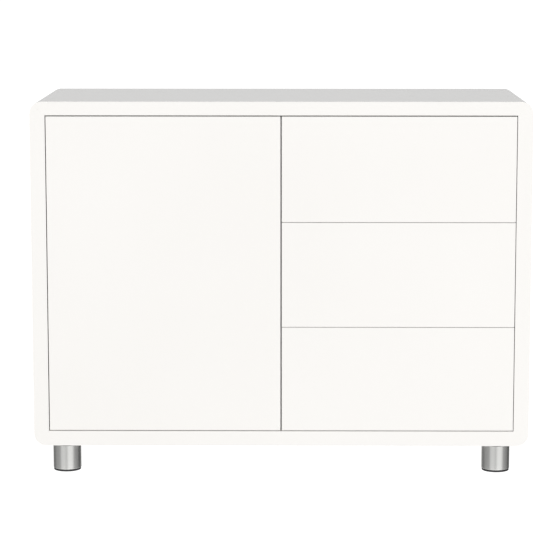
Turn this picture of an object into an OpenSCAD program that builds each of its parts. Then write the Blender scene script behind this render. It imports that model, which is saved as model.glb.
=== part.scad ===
// Sideboard: a gloss lacquered carcass on four round feet, with one inset door over a
// shelf on the left and three equal inset drawers on the right. No handles: all push to open.
// Millimetres, +Z up. Origin: on the floor under the middle of the carcass.
// The front faces -Y and +X is to the right of someone who stands in front.

/* [Carcass] */
// Overall width
body_w = 1050; // [800:10:1600]
// Height of the carcass, without its feet
body_h = 732; // [600:1:1000]
// Overall depth
body_d = 400; // [330:5:520]
// Thickness of the two side panels
side_t = 32; // [24:1:40]
// Thickness of the top panel
top_t = 29; // [24:1:40]
// Thickness of the bottom panel
base_t = 32; // [26:1:40]
// Radius of the four outer corners, seen from the front
corner_r = 26; // [4:1:30]
// Thickness of the upright divider between the door and the drawers
divider_t = 18; // [16:1:25]
// Thickness of the thin back panel
back_t = 4; // [3:0.5:8]
// Depth of the grooves that hold the thin panels
groove_depth = 8; // [5:0.5:9]
// Distance of the back panel's groove from the rear edges
back_inset = 12; // [8:1:25]

/* [Fronts] */
// Thickness of the door and of the drawer fronts
front_t = 18; // [16:1:22]
// Rounding of the fronts' upright front edges
front_edge = 1; // [0.5:0.5:2]
// Gap between the door and the left side panel
gap_left = 1.7; // [1.7:0.1:4]
// Gap between the drawer fronts and the right side panel
gap_right = 1.3; // [1:0.1:4]
// Gap between the fronts and the top panel
gap_top = 2; // [1:0.1:4]
// Gap between the fronts and the bottom panel
gap_bottom = 1.5; // [1:0.1:4]
// Gap between the door and the drawer fronts
gap_centre = 3; // [2:0.1:5]
// Gap between two drawer fronts
gap_drawer = 0.9; // [0.8:0.1:4]
// Space between the back of the fronts and the edge of the divider
front_stop_clear = 4; // [4:0.5:8]

/* [Feet] */
// Height of the feet, which is the carcass's height above the floor
foot_h = 60; // [40:1:120]
// Outer diameter of a foot
foot_d = 60; // [40:1:80]
// Wall of the tubular foot
foot_wall = 2; // [1.5:0.5:4]
// Thickness of the disc that closes the top of a foot
foot_disc_t = 6; // [4:0.5:8]
// Distance from the carcass's side to the foot's edge
foot_side_inset = 36; // [20:1:120]
// Distance from the carcass's front or rear to the foot's edge
foot_depth_inset = 12; // [8:1:80]
// Height of the black glide that shows below the steel
glide_h = 4; // [2:0.5:10]
// Height of the shadow gap between a foot and the carcass
foot_neck_h = 3.5; // [1:0.5:3.5]
// Diameter of the bolt that holds a foot
bolt_d = 8; // [6:1:10]

/* [Shelf] */
// Thickness of the shelf
shelf_t = 18; // [15:1:25]
// Distance of the shelf's front edge behind the door
shelf_setback = 17; // [10:1:60]
// Diameter of the shelf supports
pin_d = 5; // [4:0.5:8]
// Step between two shelf heights
pin_step = 32; // [25:1:50]
// Number of shelf heights above and below the middle one
pin_steps_each_way = 2; // [1:1:3]

/* [Drawers] */
// Thickness of a drawer box's sides and back
box_t = 15; // [12:1:18]
// Height of a drawer box's sides
box_h = 150; // [100:5:160]
// Thickness of a drawer's bottom panel
box_bottom_t = 4; // [3:0.5:8]
// Width that one runner takes up beside a drawer
runner_t = 12.7; // [12.7:0.1:13]
// Height of a runner's outer member
runner_h = 45; // [45:1:50]
// Sheet thickness of the runners
runner_sheet = 1.2; // [1:0.1:1.4]

/* [Hinges] */
// Diameter of a hinge's cup
cup_d = 35; // [35:0.5:36]
// Depth of a hinge's cup in the door
cup_depth = 13; // [13:0.25:14]
// Diameter of a hinge's pin
hinge_pin_d = 3; // [2.5:0.5:3]
// Distance of the upper and lower hinge from the door's ends
hinge_end = 100; // [80:5:160]

/* [Fasteners] */
// Diameter of the wooden dowels
dowel_d = 8; // [6:1:10]
// Length of the wooden dowels
dowel_l = 24; // [20:1:24]
// Number of dowels along a corner of the carcass
corner_dowels = 4; // [3:1:6]
// Diameter of the small screws
screw_d = 3.5; // [3:0.5:4]
// Length of the small screws below their heads
screw_l = 12; // [10:1:13]

/* [Hidden] */
$fn = 64;

// Colours
lacquer = "white";
melamine = "whitesmoke";
hardboard = "gainsboro";
steel = "silver";
zinc = "lightgray";
beech = "burlywood";
black = "#202020";

// Clearances
dowel_clear = 0.1;      // around a dowel
dowel_end_clear = 1;    // past each end of a dowel
panel_clear = 0.2;      // a thin panel in the width of its groove
panel_end_clear = 0.5;  // a thin panel in the depth of its groove
screw_clear = 0.05;     // around a screw
screw_end_clear = 1;    // past a screw's tip
running_clear = 0.05;   // a pin or plunger that turns or slides
seat_clear = 0.1;       // a cup or an insert in its bore
shelf_clear = 1;        // at the ends of the shelf
shelf_rear_clear = 2;   // behind the shelf
overcut = 1;            // a cutting shape past the face that it opens

// The opening inside the frame
floor_z = foot_h;
open_w = body_w - 2 * side_t;
open_z0 = floor_z + base_t;
open_z1 = floor_z + body_h - top_t;
open_h = open_z1 - open_z0;
front_y = -body_d / 2;
rear_y = body_d / 2;
front_back_y = front_y + front_t;
back_y0 = rear_y - back_inset - back_t;
divider_y0 = front_back_y + front_stop_clear;

// The frame's outer and inner edges, seen from the front
OUT_L = -body_w / 2;
OUT_R = body_w / 2;
OUT_B = floor_z;
OUT_T = floor_z + body_h;
IN_L = -open_w / 2;
IN_R = open_w / 2;

// Fronts: a door on the left, drawers on the right
drawer_count = 3;
door_w = open_w / 2 - gap_left - gap_centre / 2;
drawer_w = open_w / 2 - gap_right - gap_centre / 2;
fronts_z0 = open_z0 + gap_bottom;
fronts_h = open_h - gap_bottom - gap_top;
door_x0 = -open_w / 2 + gap_left;
drawer_x0 = gap_centre / 2;
drawer_h = (fronts_h - (drawer_count - 1) * gap_drawer) / drawer_count;
function drawer_z0(i) = fronts_z0 + i * (drawer_h + gap_drawer);
BOTTOM = 0;
MIDDLE = 1;
TOP = 2;

// Dowels along an edge: the first and last stand this far from the panel's ends
dowel_inset = 50;
divider_dowel_count = 3;
function dowel_y(i, n) = front_y + dowel_inset + i * (body_d - 2 * dowel_inset) / (n - 1);

// Feet
foot_x = body_w / 2 - foot_side_inset - foot_d / 2;
foot_y = body_d / 2 - foot_depth_inset - foot_d / 2;
FOOT_SIGNS = [[-1, -1], [1, -1], [-1, 1], [1, 1]];
glide_plug_h = 10;
glide_rim = 1;            // how far the glide's rim stands in from the steel
foot_edge = 1.5;          // rounding at the foot's lower edge
foot_neck_in = 2;         // how far the neck stands in from the foot's side
bolt_head_h = 5.3;
bolt_head_ratio = 1.6;    // a bolt head's width over its shank's
bolt_head_d = bolt_head_ratio * bolt_d;
bolt_clear = 0.25;
insert_wall = 2;
insert_h = 15;
bolt_grip = 18;           // length of bolt above the foot's disc
bolt_end_clear = 2;

// Shelf
shelf_x0 = -open_w / 2 + shelf_clear;
shelf_x1 = -divider_t / 2 - shelf_clear;
shelf_y0 = front_back_y + shelf_setback;
shelf_y1 = back_y0 - shelf_rear_clear;
shelf_z0 = (open_z0 + open_z1 - shelf_t) / 2;
pin_hole_depth = 9;
pin_in = 8;
pin_out = 9;
pin_pad_w = 12;
pin_clear = 0.05;
pin_z = shelf_z0 - pin_d / 2;
pin_front_inset = 37;
pin_rear_inset = 54;
PIN_ROWS = [front_back_y + pin_front_inset, back_y0 - pin_rear_inset];

// Drawer boxes
box_x0 = divider_t / 2 + runner_t;
box_x1 = open_w / 2 - runner_t;
box_w = box_x1 - box_x0;
drawer_rear_clear = 26;
box_y1 = back_y0 - drawer_rear_clear;
box_l = box_y1 - front_back_y;
box_lift = 20;            // from the front's lower edge to the box's lower edge
bottom_lift = 10;         // from the box's lower edge to its bottom panel
box_groove = 7;
box_dowel_front = 11;     // length of a dowel in the drawer front
box_dowel_side = 10;      // length of a dowel in the thickness of a drawer side
box_dowel_end_clear = 0.5;
box_dowel_inset = 35;

// Runners: u is the distance from the cabinet's wall, v the height from the runner's middle
runner_front_inset = 8;   // behind the fronts
runner_rear_inset = 2;    // from the box's rear end
runner_y0 = front_back_y + runner_front_inset;
runner_l = box_l - runner_front_inset - runner_rear_inset;
outer_flange = 9.5;
mid_u = 3;
mid_h = 34;
mid_flange = 8;
inner_h = 23;
inner_flange = 7.7;
SCREW_SPOTS = [0.16, 0.56, 0.83];   // along the runner, as parts of its length
function runner_z(i) = drawer_z0(i) + box_lift + box_h / 2;
function runner_screw_y(s) = runner_y0 + s * runner_l;

// Screws
screw_head_d = 2 * screw_d;
screw_head_h = 1.6;

// Hinges, in a frame on the front edge of the left side panel's inner face:
// X to the right, Y to the rear, Z from the hinge's middle
HINGE_Z = [fronts_z0 + hinge_end, fronts_z0 + fronts_h - hinge_end];
edge_to_cup = 5;                                  // door's edge to the cup's bore
cup_x = gap_left + edge_to_cup + cup_d / 2;
cup_wall = 1.2;
cup_floor = 1;
knuckle_wall = 1;
knuckle_r = hinge_pin_d / 2 + knuckle_wall;
knuckle_clear = 0.3;
hinge_axis = [cup_x, front_t - cup_depth + cup_floor + knuckle_clear + knuckle_r];
arm_w = 14;
arm_t = 2.5;
arm_reach = 15.5;                                 // how far the arm slants out of the cup
arm_back = 12;                                    // then how far it runs to the rear
lug_t = 2;
lug_gap = 0.3;
lug_r = 3.5;
ear_t = 1.2;
ear_w = 11;
ear_end = 13;                                     // ear's end past the cup
ear_screw_z = cup_d / 2 + ear_end / 2;
plate_t = 3;
plate_y0 = 36;
plate_l = 44;
plate_h = 44;
plate_wing_w = 18;
arm_foot_t = 3;                                   // the arm's own foot on the plate
arm_foot_l = 40;
plate_screw_y = 26;
plate_screw_z = 16;

// Push latch
latch_end = 119;                                  // from the door's upper end to the latch
latch_z = fronts_z0 + fronts_h - latch_end;
latch_w = 14;
latch_h = 16;
latch_l = 60;
latch_bore_l = 52;
latch_base_t = 2;
latch_base_h = 30;
latch_screw_y = 28;
latch_screw_z = 11.5;
plunger_d = 9;
plunger_l = 46;
strike_t = 1;
strike_w = 14;
strike_gap = 0.1;
plunger_x = -divider_t / 2 - latch_w / 2 - latch_base_t / 2;
strike_rear_y = front_back_y + strike_t;

// ---------- shared shapes ----------

// A box between two corners
module block(a, b) {
    translate(a) cube(b - a);
}

// A cylinder from a point, along an axis given by a turn
module rod(at, turn, d, l) {
    translate(at) rotate(turn) cylinder(d = d, h = l);
}

TO_LEFT = [0, -90, 0];
TO_RIGHT = [0, 90, 0];
TO_FRONT = [90, 0, 0];
TO_REAR = [-90, 0, 0];

// A pan head screw that points down +Z, its head resting on z = 0
module screw() {
    cylinder(d = screw_d, h = screw_l);
    translate([0, 0, -screw_head_h]) cylinder(d = screw_head_d, h = screw_head_h);
}

module screw_hole() {
    cylinder(d = screw_d + 2 * screw_clear, h = screw_l + screw_end_clear);
}

// ---------- carcass ----------

// The carcass's outline from the front, with its rounded corners
module outline() {
    w = body_w / 2 - corner_r;
    z0 = floor_z + corner_r;
    z1 = floor_z + body_h - corner_r;
    translate([-w, floor_z]) square([2 * w, body_h]);
    translate([-body_w / 2, z0]) square([body_w, z1 - z0]);
    for (x = [-w, w], z = [z0, z1]) translate([x, z]) circle(corner_r);
}

// One panel of the mitred frame: the part of the outline inside a four-sided sector
module frame_panel(sector) {
    difference() {
        rotate([90, 0, 0]) linear_extrude(body_d, center = true) intersection() {
            outline();
            polygon(sector);
        }
        back_groove();
        mitre_dowel_holes();
    }
}

module back_groove() {
    block([IN_L - groove_depth, back_y0, open_z0 - groove_depth],
          [IN_R + groove_depth, back_y0 + back_t + panel_clear, open_z1 + groove_depth]);
}

// Places its children on the four mitres, square to the mitre's face
module at_mitres() {
    for (s = [-1, 1], level = [-1, 1], i = [0 : corner_dowels - 1]) {
        t = level > 0 ? top_t : base_t;
        z = level > 0 ? OUT_T - top_t / 2 : OUT_B + base_t / 2;
        translate([s * (body_w - side_t) / 2, dowel_y(i, corner_dowels), z])
            rotate([0, -s * level * atan2(t, side_t), 0]) children();
    }
}

module mitre_dowel_holes() {
    at_mitres() cylinder(d = dowel_d + 2 * dowel_clear, h = dowel_l + 2 * dowel_end_clear, center = true);
}

module at_divider_ends() {
    for (z = [open_z0, open_z1], i = [0 : divider_dowel_count - 1])
        translate([0, dowel_y(i, divider_dowel_count), z]) children();
}

module divider_dowel_holes() {
    at_divider_ends()
        cylinder(d = dowel_d + 2 * dowel_clear, h = dowel_l + 2 * dowel_end_clear, center = true);
}

module top_panel() {
    color(lacquer) difference() {
        frame_panel([[OUT_L, OUT_T], [IN_L, open_z1], [IN_R, open_z1], [OUT_R, OUT_T]]);
        divider_dowel_holes();
    }
}

module bottom_panel() {
    color(lacquer) difference() {
        frame_panel([[OUT_L, OUT_B], [IN_L, open_z0], [IN_R, open_z0], [OUT_R, OUT_B]]);
        divider_dowel_holes();
        for (s = FOOT_SIGNS) translate([s.x * foot_x, s.y * foot_y, floor_z]) {
            cylinder(d = bolt_d + 2 * insert_wall + 2 * seat_clear, h = insert_h);
            cylinder(d = bolt_d + 2 * bolt_clear, h = bolt_grip + bolt_end_clear);
        }
    }
}

module left_side_panel() {
    color(lacquer) difference() {
        frame_panel([[OUT_L, OUT_B], [OUT_L, OUT_T], [IN_L, open_z1], [IN_L, open_z0]]);
        pin_holes(IN_L, TO_LEFT);
        at_plate_screws() screw_hole();
    }
}

module right_side_panel() {
    color(lacquer) difference() {
        frame_panel([[OUT_R, OUT_B], [OUT_R, OUT_T], [IN_R, open_z1], [IN_R, open_z0]]);
        at_cabinet_rail_screws() screw_hole();
    }
}

module centre_divider() {
    color(melamine) difference() {
        block([-divider_t / 2, divider_y0, open_z0], [divider_t / 2, back_y0, open_z1]);
        divider_dowel_holes();
        pin_holes(-divider_t / 2, TO_RIGHT);
        at_cabinet_rail_screws() screw_hole();
        at_latch_screws() screw_hole();
    }
}

module back_panel() {
    reach = groove_depth - panel_end_clear;
    color(hardboard)
        block([IN_L - reach, back_y0, open_z0 - reach], [IN_R + reach, back_y0 + back_t, open_z1 + reach]);
}

module mitre_dowels() {
    color(beech) at_mitres() cylinder(d = dowel_d, h = dowel_l, center = true);
}

module divider_dowels() {
    color(beech) at_divider_ends() cylinder(d = dowel_d, h = dowel_l, center = true);
}

// ---------- feet ----------

// A tube closed by a disc at its top, open below for the glide
module foot(s) {
    r = foot_d / 2;
    color(steel) translate([s.x * foot_x, s.y * foot_y, 0]) difference() {
        rotate_extrude() union() {
            translate([0, glide_h + foot_edge]) square([r, foot_h - glide_h - foot_edge - foot_neck_h]);
            translate([0, foot_h - foot_disc_t]) square([r - foot_neck_in, foot_disc_t]);
            translate([0, glide_h]) square([r - foot_edge, foot_edge]);
            translate([r - foot_edge, glide_h + foot_edge]) circle(foot_edge, $fn = 32);
        }
        cylinder(r = r - foot_wall, h = foot_h - foot_disc_t);
        cylinder(d = bolt_d + 2 * bolt_clear, h = foot_h + overcut);
    }
}

// Plastic glides that plug into the feet and stand on the floor
module foot_glides() {
    r = foot_d / 2;
    color(black) for (s = FOOT_SIGNS) translate([s.x * foot_x, s.y * foot_y, 0]) {
        cylinder(r = r - glide_rim, h = glide_h);
        cylinder(r = r - foot_wall - seat_clear, h = glide_h + glide_plug_h);
    }
}

module foot_bolts() {
    color(zinc) for (s = FOOT_SIGNS)
        translate([s.x * foot_x, s.y * foot_y, foot_h - foot_disc_t]) {
            cylinder(d = bolt_d, h = foot_disc_t + bolt_grip);
            translate([0, 0, -bolt_head_h]) cylinder(d = bolt_head_d, h = bolt_head_h, $fn = 6);
        }
}

module foot_inserts() {
    color("goldenrod") for (s = FOOT_SIGNS)
        translate([s.x * foot_x, s.y * foot_y, floor_z]) difference() {
            cylinder(d = bolt_d + 2 * insert_wall, h = insert_h);
            cylinder(d = bolt_d + 2 * running_clear, h = insert_h);
        }
}

// ---------- shelf ----------

module pin_holes(x, turn) {
    for (y = PIN_ROWS, k = [-pin_steps_each_way : pin_steps_each_way])
        rod([x, y, pin_z + k * pin_step], turn, pin_d + 2 * pin_clear, pin_hole_depth);
}

module shelf() {
    color(melamine) block([shelf_x0, shelf_y0, shelf_z0], [shelf_x1, shelf_y1, shelf_z0 + shelf_t]);
}

// Four supports: a pin in the wall and a flat pad under the shelf
module shelf_pins() {
    color(zinc) for (y = PIN_ROWS) {
        rod([IN_L, y, pin_z], TO_LEFT, pin_d, pin_in);
        block([IN_L, y - pin_pad_w / 2, pin_z], [IN_L + pin_out, y + pin_pad_w / 2, shelf_z0]);
        rod([-divider_t / 2, y, pin_z], TO_RIGHT, pin_d, pin_in);
        block([-divider_t / 2 - pin_out, y - pin_pad_w / 2, pin_z],
              [-divider_t / 2, y + pin_pad_w / 2, shelf_z0]);
    }
}

// ---------- hinges ----------

module hinge_frame(z) {
    translate([IN_L, front_y, z]) children();
}

// Mounting plate, a cross with two screwed wings
module hinge_plate(z) {
    color(zinc) hinge_frame(z) difference() {
        union() {
            block([0, plate_y0, -arm_w / 2], [plate_t, plate_y0 + plate_l, arm_w / 2]);
            block([0, plate_y0 + plate_screw_y - plate_wing_w / 2, -plate_h / 2],
                  [plate_t, plate_y0 + plate_screw_y + plate_wing_w / 2, plate_h / 2]);
        }
        for (s = [-1, 1])
            rod([0, plate_y0 + plate_screw_y, s * plate_screw_z], TO_RIGHT, screw_d + 2 * screw_clear, plate_t);
    }
}

// Swan-neck arm: knuckle in the cup, slant out of the cup, back, and across to the plate
module hinge_arm(z) {
    knee = hinge_axis + [arm_reach, arm_reach];
    heel = knee + [0, arm_back];
    half = arm_t / 2;
    color(zinc) hinge_frame(z) linear_extrude(arm_w, center = true) difference() {
        union() {
            translate(hinge_axis) circle(knuckle_r);
            translate(hinge_axis) rotate(45) translate([0, -half]) square([arm_reach * sqrt(2), arm_t]);
            translate(knee - [half, half]) square([arm_t, arm_back + arm_t]);
            translate([plate_t, heel.y - half]) square([knee.x + half - plate_t, arm_t]);
            translate([plate_t, heel.y - half]) square([arm_foot_t, arm_foot_l]);
        }
        translate(hinge_axis) circle(d = hinge_pin_d + 2 * running_clear);
    }
}

// Cup sunk in the door, with two lugs for the pin and two screwed ears
module hinge_cup(z) {
    cup_y0 = front_t - cup_depth;
    lug_z = arm_w / 2 + lug_gap;
    color(zinc) hinge_frame(z) difference() {
        union() {
            difference() {
                rod([cup_x, cup_y0, 0], TO_REAR, cup_d, cup_depth);
                rod([cup_x, cup_y0 + cup_floor, 0], TO_REAR, cup_d - 2 * cup_wall, cup_depth);
            }
            for (s = [-1, 1]) {
                z0 = s > 0 ? lug_z : -lug_z - lug_t;
                block([cup_x - lug_r, cup_y0, z0], [cup_x + lug_r, hinge_axis.y, z0 + lug_t]);
                translate([hinge_axis.x, hinge_axis.y, z0]) cylinder(r = lug_r, h = lug_t);
                ear_z0 = s > 0 ? cup_d / 2 - cup_wall : -cup_d / 2 - ear_end;
                block([cup_x - ear_w / 2, front_t, ear_z0],
                      [cup_x + ear_w / 2, front_t + ear_t, ear_z0 + ear_end + cup_wall]);
            }
        }
        translate([hinge_axis.x, hinge_axis.y, -cup_d / 2 + cup_wall])
            cylinder(d = hinge_pin_d + running_clear, h = cup_d - 2 * cup_wall);
        for (s = [-1, 1])
            rod([cup_x, front_t - overcut, s * ear_screw_z], TO_REAR, screw_d + 2 * screw_clear,
                ear_t + 2 * overcut);
    }
}

module hinge_pins() {
    l = arm_w + 2 * (lug_gap + lug_t);
    color(steel) for (z = HINGE_Z) hinge_frame(z)
        translate([hinge_axis.x, hinge_axis.y, -l / 2]) cylinder(d = hinge_pin_d, h = l);
}

module at_plate_screws() {
    for (z = HINGE_Z, s = [-1, 1]) hinge_frame(z)
        translate([0, plate_y0 + plate_screw_y, s * plate_screw_z]) rotate(TO_LEFT) children();
}

module at_cup_screws() {
    for (z = HINGE_Z, s = [-1, 1]) hinge_frame(z)
        translate([cup_x, front_t, s * ear_screw_z]) rotate(TO_FRONT) children();
}

// ---------- door ----------

// A front whose upright front edges are rounded, standing on z
module front_slab(x, z, w, h) {
    e = front_edge;
    translate([x, front_y, z]) linear_extrude(h) union() {
        translate([0, e]) square([w, front_t - e]);
        translate([e, 0]) square([w - 2 * e, front_t]);
        for (cx = [e, w - e]) translate([cx, e]) circle(e, $fn = 32);
    }
}

module door_panel() {
    color(lacquer) difference() {
        front_slab(door_x0, fronts_z0, door_w, fronts_h);
        for (z = HINGE_Z) hinge_frame(z)
            rod([cup_x, front_t - cup_depth - seat_clear, 0], TO_REAR, cup_d + 2 * seat_clear,
                cup_depth + seat_clear + overcut);
        at_cup_screws() screw_hole();
    }
}

module door_screws() {
    color(zinc) at_cup_screws() translate([0, 0, -ear_t]) screw();
}

// ---------- push latch ----------

module at_latch_screws() {
    for (s = [-1, 1])
        translate([-divider_t / 2, divider_y0 + latch_screw_y, latch_z + s * latch_screw_z])
            rotate(TO_RIGHT) children();
}

module latch_housing() {
    x1 = -divider_t / 2;
    color("lightgrey") difference() {
        union() {
            block([x1 - latch_base_t - latch_w, divider_y0, latch_z - latch_h / 2],
                  [x1 - latch_base_t, divider_y0 + latch_l, latch_z + latch_h / 2]);
            block([x1 - latch_base_t, divider_y0, latch_z - latch_base_h / 2],
                  [x1, divider_y0 + latch_l, latch_z + latch_base_h / 2]);
        }
        rod([plunger_x, divider_y0 - overcut, latch_z], TO_REAR, plunger_d + 2 * running_clear,
            latch_bore_l + overcut);
        at_latch_screws() translate([0, 0, -latch_base_t]) screw_hole();
    }
}

module latch_plunger() {
    color(black) rod([plunger_x, strike_rear_y + strike_gap, latch_z], TO_REAR, plunger_d, plunger_l);
}

module latch_strike() {
    color(zinc) rod([plunger_x, front_back_y, latch_z], TO_REAR, strike_w, strike_t);
}

// ---------- drawer runners ----------

// A lying C: a web from u0, flanges that reach to u1 on either side of +u
module channel(u0, u1, h) {
    s = runner_sheet;
    web = u1 > u0 ? [u0, u0 + s] : [u0 - s, u0];
    lips = u1 > u0 ? [u0, u1] : [u1, u0];
    block([web[0], runner_y0, -h / 2], [web[1], runner_y0 + runner_l, h / 2]);
    for (z = [-h / 2, h / 2 - s])
        block([lips[0], runner_y0, z], [lips[1], runner_y0 + runner_l, z + s]);
}

// Both runners of drawer i: the right one mirrors the left one
module both_runners(i) {
    middle = (divider_t / 2 + open_w / 2) / 2;
    translate([divider_t / 2, 0, runner_z(i)]) children();
    translate([middle, 0, 0]) mirror([1, 0, 0]) translate([-middle, 0, 0])
        translate([divider_t / 2, 0, runner_z(i)]) children();
}

module at_cabinet_rail_screws() {
    for (i = [BOTTOM : TOP]) both_runners(i)
        for (s = SCREW_SPOTS) translate([0, runner_screw_y(s), 0]) rotate(TO_LEFT) children();
}

module at_drawer_rail_screws(i) {
    both_runners(i)
        for (s = SCREW_SPOTS) translate([runner_t, runner_screw_y(s), 0]) rotate(TO_RIGHT) children();
}

// Screw holes through a web that starts at u
module web_holes(u) {
    for (s = SCREW_SPOTS)
        rod([u, runner_screw_y(s), 0], TO_RIGHT, screw_d + 2 * screw_clear, runner_sheet);
}

module cabinet_rails(i) {
    color(zinc) both_runners(i) difference() {
        channel(0, outer_flange, runner_h);
        web_holes(0);
    }
}

module mid_rails(i) {
    color(zinc) both_runners(i) channel(mid_u, mid_u + mid_flange, mid_h);
}

module drawer_rails(i) {
    color(zinc) both_runners(i) difference() {
        channel(runner_t, runner_t - inner_flange, inner_h);
        web_holes(runner_t - runner_sheet);
    }
}

// All the small screws of the fixed carcass: hinge plates, latch and outer runner members
module carcass_screws() {
    color(zinc) {
        at_plate_screws() translate([0, 0, -plate_t]) screw();
        at_latch_screws() translate([0, 0, -latch_base_t]) screw();
        at_cabinet_rail_screws() translate([0, 0, -runner_sheet]) screw();
    }
}

// ---------- drawers ----------

module drawer_bottom_groove(i) {
    z = drawer_z0(i) + box_lift + bottom_lift;
    block([box_x0 + box_t - box_groove, front_back_y - box_groove, z],
          [box_x1 - box_t + box_groove, box_y1 - box_t + box_groove, z + box_bottom_t + panel_clear]);
}

// Dowels at the box's corners: along Y into the front, along X into the ends of the back
module at_box_dowels(i) {
    for (z = [drawer_z0(i) + box_lift + box_dowel_inset, drawer_z0(i) + box_lift + box_h - box_dowel_inset]) {
        for (x = [box_x0 + box_t / 2, box_x1 - box_t / 2])
            translate([x, front_back_y - box_dowel_front, z]) rotate(TO_REAR) children();
        translate([box_x0 + box_t - box_dowel_side, box_y1 - box_t / 2, z]) rotate(TO_RIGHT) children();
        translate([box_x1 - box_t + box_dowel_side, box_y1 - box_t / 2, z]) rotate(TO_LEFT) children();
    }
}

module box_dowel_holes(i) {
    at_box_dowels(i) translate([0, 0, -box_dowel_end_clear])
        cylinder(d = dowel_d + 2 * dowel_clear, h = dowel_l + 2 * box_dowel_end_clear);
}

module drawer_front(i) {
    color(lacquer) difference() {
        front_slab(drawer_x0, drawer_z0(i), drawer_w, drawer_h);
        drawer_bottom_groove(i);
        box_dowel_holes(i);
    }
}

module drawer_side(i, x) {
    z = drawer_z0(i) + box_lift;
    color(melamine) difference() {
        block([x, front_back_y, z], [x + box_t, box_y1, z + box_h]);
        drawer_bottom_groove(i);
        box_dowel_holes(i);
        at_drawer_rail_screws(i) screw_hole();
    }
}

module drawer_left_side(i) {
    drawer_side(i, box_x0);
}

module drawer_right_side(i) {
    drawer_side(i, box_x1 - box_t);
}

module drawer_back(i) {
    z = drawer_z0(i) + box_lift;
    color(melamine) difference() {
        block([box_x0 + box_t, box_y1 - box_t, z], [box_x1 - box_t, box_y1, z + box_h]);
        drawer_bottom_groove(i);
        box_dowel_holes(i);
    }
}

module drawer_bottom(i) {
    z = drawer_z0(i) + box_lift + bottom_lift;
    reach = box_groove - panel_end_clear;
    color(hardboard)
        block([box_x0 + box_t - reach, front_back_y - reach, z],
              [box_x1 - box_t + reach, box_y1 - box_t + reach, z + box_bottom_t]);
}

module drawer_dowels(i) {
    color(beech) at_box_dowels(i) cylinder(d = dowel_d, h = dowel_l);
}

module drawer_screws(i) {
    color(zinc) at_drawer_rail_screws(i) translate([0, 0, -runner_sheet]) screw();
}

// ---------- nodes ----------

top_panel();
bottom_panel();
left_side_panel();
right_side_panel();
centre_divider();
back_panel();
mitre_dowels();
divider_dowels();
foot(FOOT_SIGNS[0]);  // foot_front_left
foot(FOOT_SIGNS[1]);  // foot_front_right
foot(FOOT_SIGNS[2]);  // foot_rear_left
foot(FOOT_SIGNS[3]);  // foot_rear_right
foot_glides();
foot_bolts();
foot_inserts();
shelf();
shelf_pins();
hinge_plate(HINGE_Z[1]);  // hinge_plate_upper
hinge_plate(HINGE_Z[0]);  // hinge_plate_lower
hinge_arm(HINGE_Z[1]);  // hinge_arm_upper
hinge_arm(HINGE_Z[0]);  // hinge_arm_lower
latch_housing();
carcass_screws();
cabinet_rails(TOP);  // cabinet_rails_top
cabinet_rails(MIDDLE);  // cabinet_rails_middle
cabinet_rails(BOTTOM);  // cabinet_rails_bottom
door_panel();
hinge_cup(HINGE_Z[1]);  // hinge_cup_upper
hinge_cup(HINGE_Z[0]);  // hinge_cup_lower
hinge_pins();
door_screws();
latch_strike();
latch_plunger();
mid_rails(TOP);  // mid_rails_top
mid_rails(MIDDLE);  // mid_rails_middle
mid_rails(BOTTOM);  // mid_rails_bottom
drawer_front(TOP);  // drawer_front_top
drawer_left_side(TOP);  // drawer_left_side_top
drawer_right_side(TOP);  // drawer_right_side_top
drawer_back(TOP);  // drawer_back_top
drawer_bottom(TOP);  // drawer_bottom_top
drawer_rails(TOP);  // drawer_rails_top
drawer_dowels(TOP);  // drawer_dowels_top
drawer_screws(TOP);  // drawer_screws_top
drawer_front(MIDDLE);  // drawer_front_middle
drawer_left_side(MIDDLE);  // drawer_left_side_middle
drawer_right_side(MIDDLE);  // drawer_right_side_middle
drawer_back(MIDDLE);  // drawer_back_middle
drawer_bottom(MIDDLE);  // drawer_bottom_middle
drawer_rails(MIDDLE);  // drawer_rails_middle
drawer_dowels(MIDDLE);  // drawer_dowels_middle
drawer_screws(MIDDLE);  // drawer_screws_middle
drawer_front(BOTTOM);  // drawer_front_bottom
drawer_left_side(BOTTOM);  // drawer_left_side_bottom
drawer_right_side(BOTTOM);  // drawer_right_side_bottom
drawer_back(BOTTOM);  // drawer_back_bottom
drawer_bottom(BOTTOM);  // drawer_bottom_bottom
drawer_rails(BOTTOM);  // drawer_rails_bottom
drawer_dowels(BOTTOM);  // drawer_dowels_bottom
drawer_screws(BOTTOM);  // drawer_screws_bottom
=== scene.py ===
"""White gloss sideboard: inset door on the left, three inset drawers on the right, steel feet."""

import math

import bmesh
import bpy
from mathutils import Matrix, Vector


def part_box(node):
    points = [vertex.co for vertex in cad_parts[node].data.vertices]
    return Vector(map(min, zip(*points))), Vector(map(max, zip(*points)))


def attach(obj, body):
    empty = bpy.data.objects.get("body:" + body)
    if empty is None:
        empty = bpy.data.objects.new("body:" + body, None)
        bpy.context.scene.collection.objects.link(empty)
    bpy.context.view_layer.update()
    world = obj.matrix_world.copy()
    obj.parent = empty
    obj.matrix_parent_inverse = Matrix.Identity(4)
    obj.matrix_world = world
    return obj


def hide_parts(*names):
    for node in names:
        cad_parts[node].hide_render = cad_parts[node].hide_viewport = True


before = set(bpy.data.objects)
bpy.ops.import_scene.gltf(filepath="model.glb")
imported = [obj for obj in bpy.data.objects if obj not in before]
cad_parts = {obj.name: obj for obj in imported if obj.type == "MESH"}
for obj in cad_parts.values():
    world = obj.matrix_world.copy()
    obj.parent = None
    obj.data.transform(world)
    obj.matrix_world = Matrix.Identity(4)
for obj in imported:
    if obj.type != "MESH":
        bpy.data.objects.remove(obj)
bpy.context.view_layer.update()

MM = 0.001
LEVELS = ("top", "middle", "bottom")

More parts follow.
